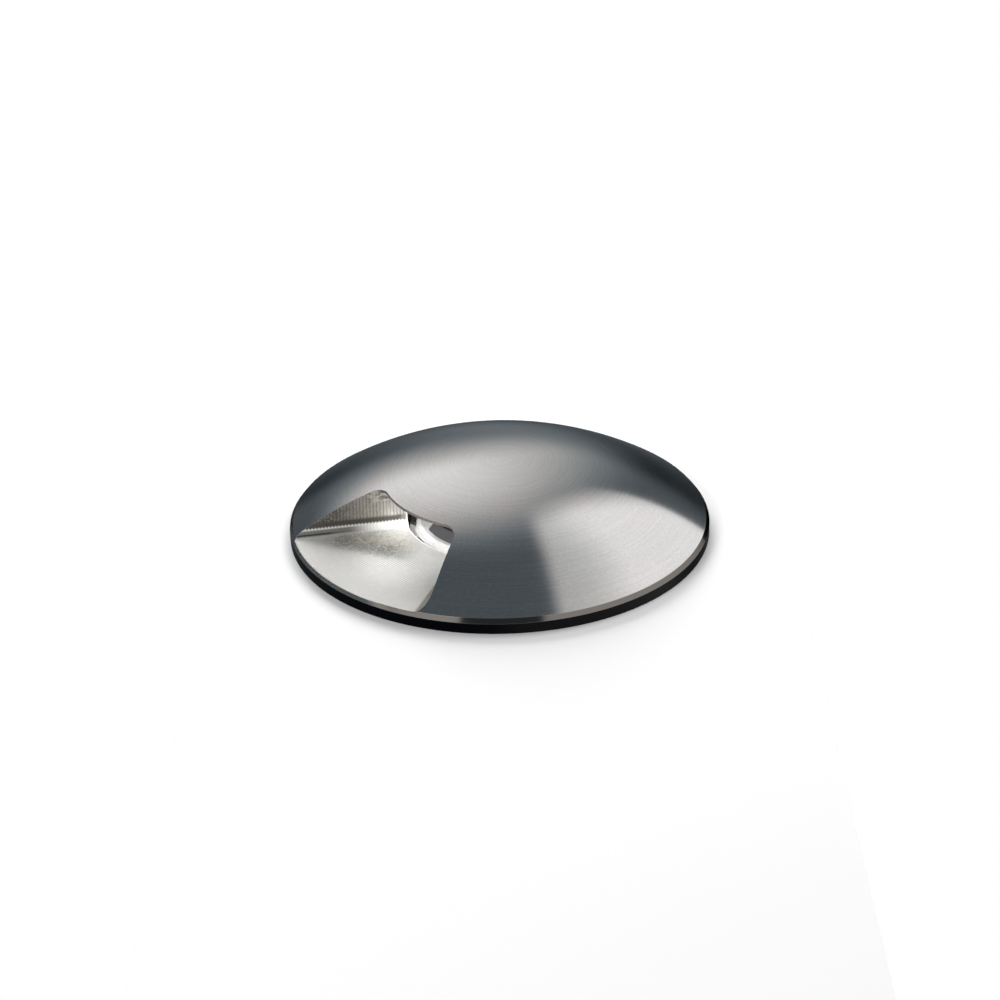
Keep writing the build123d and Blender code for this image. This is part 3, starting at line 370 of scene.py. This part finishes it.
def wall_tone(g, at):
    """Brown-grey side walls with ribs, a painted dark reflection in a band, a painted highlight
    strip under it, and painted shade in the furrows, at the foot and on the right wall.
    """
    along, z = at.along, at.z
    at.ribs = g.math("SINE", g.mul(along, 2 * pi / RIB_PITCH))
    outer = g.spread(along, 30.0 * MM, 42.0 * MM)
    tone = g.blend(outer, (0.36, 0.33, 0.29), (0.075, 0.067, 0.057))
    tone = g.blend(g.spread(along, 29.0 * MM, 24.0 * MM), tone, (0.66, 0.64, 0.60))
    tone = g.blend(g.spread(at.swirl, 0.35, 0.65, 0.0, 0.4), tone, (0.62, 0.60, 0.55))
    # Painted shade in the furrows between the ribs
    painted_furrow_shade = g.mul(
        g.spread(at.ribs, -1.0, -0.1, 0.6, 0.0), g.spread(at.coarse, 0.3, 0.65, 0.35, 1.0)
    )
    tone = g.blend(painted_furrow_shade, tone, (0.06, 0.055, 0.047))

    # Smears of the tool high on the left wall, near the bore
    stretched = g.vector(g.mul(along, 330.0), g.mul(z, 1100.0), g.mul(at.away, 330.0))
    smear = g.noise(stretched, 1.0, 4.0, 0.7, 1.2)
    smeared = g.product(
        [
            g.spread(z, 9.4 * MM, 11.2 * MM),
            g.spread(along, 34.0 * MM, 28.0 * MM),
            g.outside(at.right),
            0.75,
        ]
    )
    smear_tone = g.blend(g.spread(smear, 0.42, 0.60), (0.12, 0.11, 0.092), (0.66, 0.635, 0.58))
    tone = g.blend(smeared, tone, smear_tone)

    # Painted reflection and light: a dark band, a painted highlight strip under it, and painted
    # shade at the wall's foot near its outer end
    painted_dark_band = g.mul(
        g.spread(z, 6.7 * MM, 5.8 * MM), g.spread(along, 22.4 * MM, 24.6 * MM, 0.35, 1.0)
    )
    tone = g.blend(painted_dark_band, tone, (0.10, 0.092, 0.08))
    # Painted highlight: a bright strip that follows the ribs
    painted_highlight_z = g.add(z, g.mul(at.ribs, -0.12 * MM))
    tone = g.blend(g.spread(painted_highlight_z, 5.1 * MM, 4.6 * MM), tone, (0.90, 0.885, 0.84))
    painted_shade_foot = g.mul(
        g.spread(z, 4.8 * MM, 4.3 * MM), g.spread(along, 30.0 * MM, 37.0 * MM, 0.0, 0.9)
    )
    tone = g.blend(painted_shade_foot, tone, (0.11, 0.11, 0.10))

    # Painted shade: a dark, ragged line in the crease where the left wall's outer end meets the
    # floor
    crease_line_at = g.add(1.0 * MM, g.mul(g.sub(at.rough, 0.5), 0.5 * MM))
    off_crease_line = g.math("ABSOLUTE", g.sub(at.away, crease_line_at))
    painted_crease_shade = g.product(
        [
            g.spread(off_crease_line, 0.16 * MM, 0.42 * MM, 1.0, 0.0),
            g.spread(g.add(along, g.mul(at.coarse, 6.0 * MM)), 40.0 * MM, 45.0 * MM),
            g.spread(z, 4.2 * MM, 4.0 * MM),
        ]
    )
    tone = g.blend(painted_crease_shade, tone, (0.030, 0.033, 0.036))
    # Painted shade: the right wall and its fillet are painted dark
    right_wall_painted_shade = g.blend(at.coarse, (0.10, 0.093, 0.082), (0.36, 0.34, 0.31))
    return g.blend(at.right, tone, right_wall_painted_shade)


def chamfer_tone(g, at):
    """Brownish turned steel with tool marks at the left wall, and painted light that makes it
    brighter at the outlet.
    """
    grain = g.vector(g.mul(at.angle, 260.0), g.mul(at.z, 2600.0), g.mul(at.radius, 900.0))
    marks = g.noise(grain, 1.0, 2.0, 0.6)
    at.marked = g.mul(g.spread(at.along, 38.0 * MM, 45.0 * MM), g.spread(marks, 0.4, 0.6))
    tone = g.blend(at.bands, (0.125, 0.115, 0.107), (0.15, 0.138, 0.13))
    # Painted light: brighter towards the outlet
    tone = g.blend(g.spread(at.x, -24.0 * MM, -32.0 * MM), tone, (0.72, 0.68, 0.64))
    return g.blend(g.mul(at.marked, 0.7), tone, (0.62, 0.60, 0.56))


def cover_steel():
    g = Graph("cover_steel")
    at = cover_places(g)
    colour = g.blend(at.walls, floor_tone(g, at), wall_tone(g, at))
    # Painted light: the bore's wall is near-white, where the roof keeps light from it
    bore_painted_light_tone = g.blend(at.coarse, (0.93, 0.925, 0.90), (0.98, 0.975, 0.96))
    colour = g.blend(at.bore, colour, bore_painted_light_tone)
    colour = g.blend(at.roof_edge, colour, (0.105, 0.09, 0.08))
    colour = g.blend(at.dome, colour, dome_tone(g, at))
    colour = g.blend(at.chamfer, colour, chamfer_tone(g, at))
    # Painted reflection: the rim's upright side is painted near-black, as the dark ground it
    # would mirror
    colour = g.blend(at.side, colour, (0.001, 0.0012, 0.002))

    satin_rough = g.add(0.06, g.add(g.mul(at.streaks, 0.06), g.mul(at.hatch, 0.05)))
    rough = g.between(at.dome, 0.40, satin_rough)
    rough = g.between(at.chamfer, rough, g.add(0.10, g.mul(at.marked, 0.25)))
    rough = g.between(at.side, rough, 0.30)

    # The outlet is milled in many small steps, which scatter the light
    scatter = g.product([at.inner, g.outside(at.chamfer), g.between(at.bore, 0.65, 1.0)])

    relief = g.bump(g.mul(g.add(at.streaks, at.hatch), at.dome), GRAIN_DEPTH)
    relief = g.bump(g.mul(at.lines, at.floor), LINE_DEPTH, below=relief)
    relief = g.bump(g.mul(at.swirl, at.patch), WORN_DEPTH, below=relief)
    relief = g.bump(g.mul(at.ribs, at.walls), RIB_DEPTH, below=relief)
    return g.surface(
        Base_Color=colour,
        Metallic=g.mul(g.outside(scatter), g.outside(at.side)),
        Roughness=rough,
        Specular_IOR_Level=g.between(at.side, 0.5, 0.05),
        Specular_Tint=g.blend(at.chamfer, (1.0, 1.0, 1.0), (0.25, 0.25, 0.25)),
        Normal=relief,
    )


def milled_steel():
    g = Graph("milled_steel")
    position = g.position()
    radius, angle, z = polar(g, position)
    streaks, bands = turned_grain(g, radius, angle, z)
    mottle = g.noise(position, 2200.0, 3.0, 0.6)
    colour = g.blend(bands, (0.86, 0.855, 0.84), (0.95, 0.945, 0.93))
    colour = g.blend(g.spread(mottle, 0.5, 0.75), colour, (0.66, 0.65, 0.62))
    # Darker outside the step's radius and above the flange
    darker_step_ring = g.mul(
        g.spread(radius, FRAME_STEP_R, FRAME_STEP_R + 0.5 * MM, 0.0, 0.35),
        g.spread(z, FRAME_FLANGE_Z + 0.1 * MM, FRAME_FLANGE_Z - 0.1 * MM, 1.0, 0.0),
    )
    colour = g.blend(darker_step_ring, colour, (0.45, 0.44, 0.42))
    return g.surface(
        Base_Color=colour,
        Metallic=0.5,
        Roughness=g.add(0.34, g.mul(mottle, 0.2)),
        Normal=g.bump(mottle, 0.01 * MM, below=g.bump(streaks, 0.004 * MM)),
    )


def window_glass():
    g = Graph("window_glass")
    position = g.position()
    fine = g.noise(position, 6000.0, 3.0, 0.6)
    cloud = g.noise(position, 130.0, 2.0, 0.5)
    return g.surface(
        Base_Color=g.blend(cloud, (0.092, 0.094, 0.098), (0.108, 0.109, 0.112)),
        Roughness=g.add(0.42, g.mul(fine, 0.1)),
        Specular_IOR_Level=0.25,
        Normal=g.bump(fine, 0.004 * MM),
    )


# ---------------------------------------------------------------- plain recipes
def moulded(
    name, low, high, rough, grain=2500.0, depth=0.01 * MM, specular=0.4, coat=0.0, mottle=120.0
):
    """Plastic or rubber: two near tones, a fine grain, and a roughness that varies a little."""
    g = Graph(name)
    position = g.position()
    fine = g.noise(position, grain, 3.0, 0.6)
    cloud = g.noise(position, mottle, 3.0, 0.55)
    colour = g.blend(g.spread(cloud, 0.3, 0.7), low, high)
    shade = g.blend(g.spread(fine, 0.35, 0.75), colour, tuple(c * 0.8 for c in low))
    return g.surface(
        Base_Color=shade,
        Roughness=g.add(rough, g.mul(g.sub(fine, 0.5), 0.16)),
        Specular_IOR_Level=specular,
        Coat_Weight=coat,
        Coat_Roughness=0.12,
        Normal=g.bump(fine, depth),
    )


def metal(name, low, high, rough, streak=(600.0, 600.0, 6000.0), depth=0.004 * MM):
    """Metal with a direction of working: streak says how fine the marks are along each axis."""
    g = Graph(name)
    position = g.position()
    streaks = g.noise(g.scaled(position, streak), 1.0, 3.0, 0.6)
    cloud = g.noise(position, 110.0, 3.0, 0.55)
    colour = g.blend(g.spread(cloud, 0.3, 0.7), low, high)
    darker = tuple(c * 0.7 for c in low)
    return g.surface(
        Base_Color=g.blend(g.spread(streaks, 0.5, 0.8, 0.0, 0.5), colour, darker),
        Metallic=1.0,
        Roughness=g.add(rough, g.mul(g.sub(streaks, 0.5), 0.18)),
        Normal=g.bump(streaks, depth),
    )


def lens_clear():
    g = Graph("lens_clear")
    fine = g.noise(g.position(), 700.0, 2.0, 0.5)
    return g.surface(
        Base_Color=g.blend(fine, (0.93, 0.96, 0.97), (0.97, 0.99, 1.0)),
        Roughness=g.add(0.03, g.mul(fine, 0.05)),
        Transmission_Weight=1.0,
        IOR=1.49,
        Normal=g.bump(fine, 0.002 * MM),
    )


def emitter():
    """A yellow chip on a white base, under a clear coat."""
    g = Graph("emitter")
    position = g.position()
    radius, _, _ = polar(g, position)
    fine = g.noise(position, 5000.0, 3.0, 0.6)
    chip = g.spread(radius, 1.5 * MM, 1.8 * MM, 1.0, 0.0)
    colour = g.blend(chip, (0.80, 0.80, 0.77), (0.86, 0.62, 0.10))
    return g.surface(
        Base_Color=g.blend(g.mul(fine, 0.3), colour, (0.70, 0.62, 0.35)),
        Roughness=g.add(0.18, g.mul(fine, 0.1)),
        Coat_Weight=0.8,
        Normal=g.bump(fine, 0.003 * MM),
    )


def circuit_board():
    """Green solder resist with copper tracks showing under it, and bare pads."""
    g = Graph("circuit_board")
    position = g.position()
    flat = g.scaled(position, (1.0, 1.0, 0.0))
    weave = g.noise(g.scaled(position, (2500.0, 2500.0, 900.0)), 1.0, 2.0, 0.5)
    tracks = g.spread(g.math("SINE", g.mul(g.cells(flat, 260.0), 26.0)), 0.2, 0.5)
    pads = g.spread(g.cells(flat, 330.0), 0.10, 0.14, 1.0, 0.0)
    colour = g.blend(weave, (0.010, 0.075, 0.030), (0.016, 0.105, 0.042))
    colour = g.blend(tracks, colour, (0.022, 0.155, 0.060))
    return g.surface(
        Base_Color=g.blend(pads, colour, (0.62, 0.60, 0.56)),
        Metallic=g.mul(pads, 0.9),
        Roughness=g.add(0.28, g.mul(weave, 0.12)),
        Coat_Weight=0.4,
        Normal=g.bump(g.add(tracks, weave), 0.01 * MM),
    )


FINISHES = {
    "cover_steel": cover_steel(),
    "milled_steel": milled_steel(),
    "window_glass": window_glass(),
    "black_rubber": moulded("black_rubber", (0.020, 0.020, 0.021), (0.030, 0.030, 0.031), 0.55),
    "clear_silicone": moulded(
        "clear_silicone", (0.46, 0.47, 0.46), (0.54, 0.54, 0.53), 0.42, specular=0.45
    ),
    "housing_metal": metal(
        "housing_metal",
        (0.50, 0.505, 0.515),
        (0.58, 0.585, 0.59),
        0.42,
        (5200.0, 5200.0, 5200.0),
        0.012 * MM,
    ),
    "screw_steel": metal("screw_steel", (0.50, 0.49, 0.475), (0.62, 0.61, 0.59), 0.26),
    "spring_steel": metal(
        "spring_steel", (0.55, 0.54, 0.52), (0.66, 0.65, 0.63), 0.24, (3000.0, 3000.0, 300.0)
    ),
    "thermal_pad": moulded("thermal_pad", (0.38, 0.43, 0.49), (0.44, 0.49, 0.55), 0.6),
    "lamp_board": moulded(
        "lamp_board", (0.78, 0.78, 0.75), (0.85, 0.85, 0.82), 0.34, coat=0.3, mottle=300.0
    ),
    "emitter": emitter(),
    "lens_clear": lens_clear(),
    "black_plastic": moulded(
        "black_plastic", (0.022, 0.022, 0.023), (0.034, 0.034, 0.035), 0.46, 1800.0, 0.02 * MM
    ),
    "grey_plastic": moulded(
        "grey_plastic", (0.25, 0.26, 0.27), (0.31, 0.32, 0.33), 0.48, 1800.0, 0.02 * MM
    ),
    "sleeve_plastic": moulded(
        "sleeve_plastic", (0.030, 0.030, 0.032), (0.046, 0.046, 0.048), 0.50, 1500.0, 0.03 * MM
    ),
    "white_plastic": moulded(
        "white_plastic", (0.70, 0.70, 0.67), (0.78, 0.78, 0.75), 0.42, 1800.0, 0.012 * MM
    ),
    "circuit_board": circuit_board(),
    "capacitor_sleeve": moulded(
        "capacitor_sleeve", (0.030, 0.036, 0.065), (0.042, 0.050, 0.085), 0.24, 900.0, coat=0.5
    ),
    "ferrite": moulded("ferrite", (0.060, 0.060, 0.064), (0.095, 0.095, 0.10), 0.55, 2600.0),
    "terminal_plastic": moulded(
        "terminal_plastic", (0.045, 0.17, 0.09), (0.06, 0.22, 0.12), 0.38, 1500.0
    ),
    "lead_insulation": moulded(
        "lead_insulation", (0.46, 0.022, 0.020), (0.56, 0.035, 0.030), 0.36, 2500.0, coat=0.2
    ),
    "nickel_brass": metal(
        "nickel_brass", (0.54, 0.52, 0.47), (0.66, 0.64, 0.58), 0.25, (4000.0, 4000.0, 500.0)
    ),
}

for part in frame["record"]["subparts"]:
    shown = nodes[part["node"]]
    finish = FINISHES[part["material_slot"]]
    if shown.material_slots:
        for place in shown.material_slots:
            place.material = finish
    else:
        shown.data.materials.append(finish)


# ---------------------------------------------------------------- the paving
FLOOR_Z = -0.1 * MM
FLOOR_HOLE_R = 48.4 * MM
FLOOR_RING_R = 68.0 * MM
FLOOR_FRONT = 210.0 * MM
FLOOR_STEPS = 144


def floor_card():
    """A pale floor round the light and in front of it, with the hole that the sleeve is in."""
    inner, outer = [], []
    for index in range(FLOOR_STEPS):
        angle = 2 * pi * index / FLOOR_STEPS
        c, s = cos(angle), sin(angle)
        reach = FLOOR_RING_R
        if s < 0:
            reach = min(FLOOR_RING_R / max(abs(c), 1e-6), FLOOR_FRONT / -s)
        inner.append((FLOOR_HOLE_R * c, FLOOR_HOLE_R * s, FLOOR_Z))
        outer.append((reach * c, reach * s, FLOOR_Z))
    faces = []
    for index in range(FLOOR_STEPS):
        after = (index + 1) % FLOOR_STEPS
        faces.append((index, FLOOR_STEPS + index, FLOOR_STEPS + after, after))
    mesh = bpy.data.meshes.new("floor")
    mesh.from_pydata(inner + outer, [], faces)
    mesh.update()
    floor = bpy.data.objects.new("floor", mesh)
    scene.collection.objects.link(floor)

    # White from above, and clear from below, so that views from below show the sleeve
    g = Graph("floor_white")
    pale = g.fill(g.node("ShaderNodeBsdfDiffuse"), Color=(0.86, 0.86, 0.86))
    clear = g.node("ShaderNodeBsdfTransparent").outputs[0]
    back = g.node("ShaderNodeNewGeometry").outputs["Backfacing"]
    mesh.materials.append(g.show(g.either(back, pale, clear)))

    # The photo's rim is dark down to the ground, so the card isn't seen in reflections
    floor.visible_glossy = False


floor_card()

# ---------------------------------------------------------------- the world
AMBIENT = 0.36


def studio_world():
    """White to the camera, gloss and glass, with a dimmer light on the object itself."""
    g = Graph("world", for_world=True)
    white = (1.0, 1.0, 1.0)
    ambient = g.fill(g.node("ShaderNodeBackground"), Color=white, Strength=AMBIENT)
    backdrop = g.fill(g.node("ShaderNodeBackground"), Color=white, Strength=1.0)
    rays = g.node("ShaderNodeLightPath").outputs
    seen = g.math("MAXIMUM", rays["Is Camera Ray"], rays["Is Glossy Ray"])
    seen = g.math("MAXIMUM", seen, rays["Is Transmission Ray"])
    return g.show(g.either(seen, ambient, backdrop))


scene.world = studio_world()

# ---------------------------------------------------------------- the studio
TENT_R = 2.5
RIGHT_PANEL_GLOW = 1.25
BACK_PANEL_GLOW = 1.28
HIGH_GLOW = 0.10
LOW_GLOW = 0.08
LAMP_DISTANCE = 0.9
SNOOT_R = 0.004
SNOOT_SOFTNESS = 0.9

# Directions on the right panel's edges and one inside it, as azimuth and elevation in degrees
PANEL_CORNER = (16.0, 60.7)
PANEL_TOP = (90, 74.8)
PANEL_LOW_CORNER = (28.4, 28.5)
PANEL_FOOT = (37, 18)
PANEL_INSIDE = (45.0, 50.0)


def heading(azimuth, elevation):
    """The direction at this azimuth, from +Y towards +X, and this elevation, in degrees."""
    a, e = radians(azimuth), radians(elevation)
    return Vector((cos(e) * sin(a), cos(e) * cos(a), sin(e)))


def edge_plane(first, second):
    """The normal of the plane through the origin and two directions, towards the panel."""
    normal = heading(*first).cross(heading(*second)).normalized()
    return normal if normal.dot(heading(*PANEL_INSIDE)) > 0 else -normal


def studio_tent():
    """A dark tent, seen only in reflections, with a right, a back and two front panels."""
    bpy.ops.mesh.primitive_uv_sphere_add(segments=64, ring_count=32, radius=TENT_R)
    tent = bpy.context.active_object
    tent.name = "studio_tent"
    g = Graph("studio_tent")
    unit = g.node("ShaderNodeVectorMath", operation="NORMALIZE")
    g.put(g.position(), unit.inputs[0])
    direction = unit.outputs[0]
    x, y, z = g.split(direction)

    def side(normal, offset, width):
        """1 on one side of a plane and 0 on the other, with a soft edge of this width."""
        level = g.sub(g.dot(direction, tuple(normal)), offset)
        return g.spread(level, -width / 2, width / 2)

    right_panel = g.product(
        [
            side(edge_plane(PANEL_CORNER, PANEL_TOP), 0.0, 0.09),
            side(edge_plane(PANEL_LOW_CORNER, PANEL_FOOT), 0.0, 0.04),
            side(edge_plane(PANEL_CORNER, PANEL_LOW_CORNER), 0.0, 0.20),
            g.spread(z, 0.96, 0.74, 0.50, 1.0),
        ]
    )
    # The back panel's edges: a plane's normal and offset, and the width of the soft edge
    back_panel = g.product(
        [
            side((0.2385, 0.9139, 0.3284), 0.6705, 0.46),
            side((0.8249, -0.0114, 0.5651), -0.1677, 0.29),
            side((0.2032, -0.9739, -0.1014), -0.9685, 0.143),
            side((-0.5579, 0.7029, 0.4412), 0.7671, 0.525),
        ]
    )
    # Two panels in front, with a dark gap between them where the camera stands
    front_panels = g.product(
        [
            g.spread(g.sub(0.0, y), 0.15, 0.45),
            g.spread(z, 0.12, 0.35),
            g.spread(z, 0.95, 0.80),
            g.spread(g.math("ABSOLUTE", x), 0.285, 0.315),
            g.spread(x, 0.0, 0.1, 1.4, 0.8),
        ]
    )
    high = side((-0.1444, -0.7416, 0.6551), -0.5877, 0.197)
    low = g.spread(z, -0.5, 0.1, 1.0, 0.0)
    elsewhere = g.outside(right_panel)
    level = g.add(g.spread(x, -0.75, -0.25, 0.018, 0.033), g.mul(high, HIGH_GLOW))
    level = g.add(level, g.mul(right_panel, RIGHT_PANEL_GLOW))
    level = g.add(level, g.mul(g.mul(back_panel, elsewhere), BACK_PANEL_GLOW))
    level = g.add(level, g.mul(front_panels, elsewhere))
    level = g.add(level, g.mul(low, LOW_GLOW))
    tint = g.blend(g.spread(level, 0.05, 0.6), (0.84, 1.0, 1.12), (1.0, 0.995, 0.985))
    glow = g.fill(g.node("ShaderNodeEmission"), Color=tint, Strength=level)
    tent.data.materials.append(g.show(glow))
    g.owner.cycles.emission_sampling = "NONE"
    tent.visible_camera = False
    tent.visible_diffuse = False
    tent.visible_shadow = False
    tent.visible_transmission = False


def lamp(name, kind, azimuth, elevation, power, aim=(0.0, 0.0, 0.0)):
    """A lamp that is aimed at a place from this heading. It isn't seen itself."""
    data = bpy.data.lights.new(name, kind)
    data.energy = power
    made = bpy.data.objects.new(name, data)
    scene.collection.objects.link(made)
    toward = heading(azimuth, elevation)
    made.location = Vector(aim) + toward * LAMP_DISTANCE
    made.rotation_euler = toward.to_track_quat("Z", "Y").to_euler()
    made.visible_glossy = False
    made.visible_camera = False
    return data


def softbox(name, azimuth, elevation, width, height, power):
    """A wide, soft lamp that is aimed at the light's axis at the paving."""
    data = lamp(name, "AREA", azimuth, elevation, power)
    data.shape = "RECTANGLE"
    data.size = width
    data.size_y = height


def snooted_lamp(name, azimuth, elevation, power, aim, spread_angle):
    """A lamp that lights one small round place."""
    data = lamp(name, "SPOT", azimuth, elevation, power, aim)
    data.spot_size = radians(spread_angle)
    data.spot_blend = SNOOT_SOFTNESS
    data.shadow_soft_size = SNOOT_R


studio_tent()
softbox("back_softbox", -8, 25, 0.6, 0.5, 11.0)
softbox("right_softbox", 52, 46, 0.5, 0.5, 2.7)
softbox("front_left_softbox", -140, 28, 0.4, 0.3, 3.5)

# The strong light that the photo shows on the outlet's floor, and where its left wall ends
snooted_lamp("outlet_lamp", -150, 36, 50.0, (-16.0 * MM, -11.0 * MM, 3.0 * MM), 2.3)
snooted_lamp("bore_lamp", 164, 27, 54.0, (-21.0 * MM, -4.4 * MM, 5.0 * MM), 0.95)
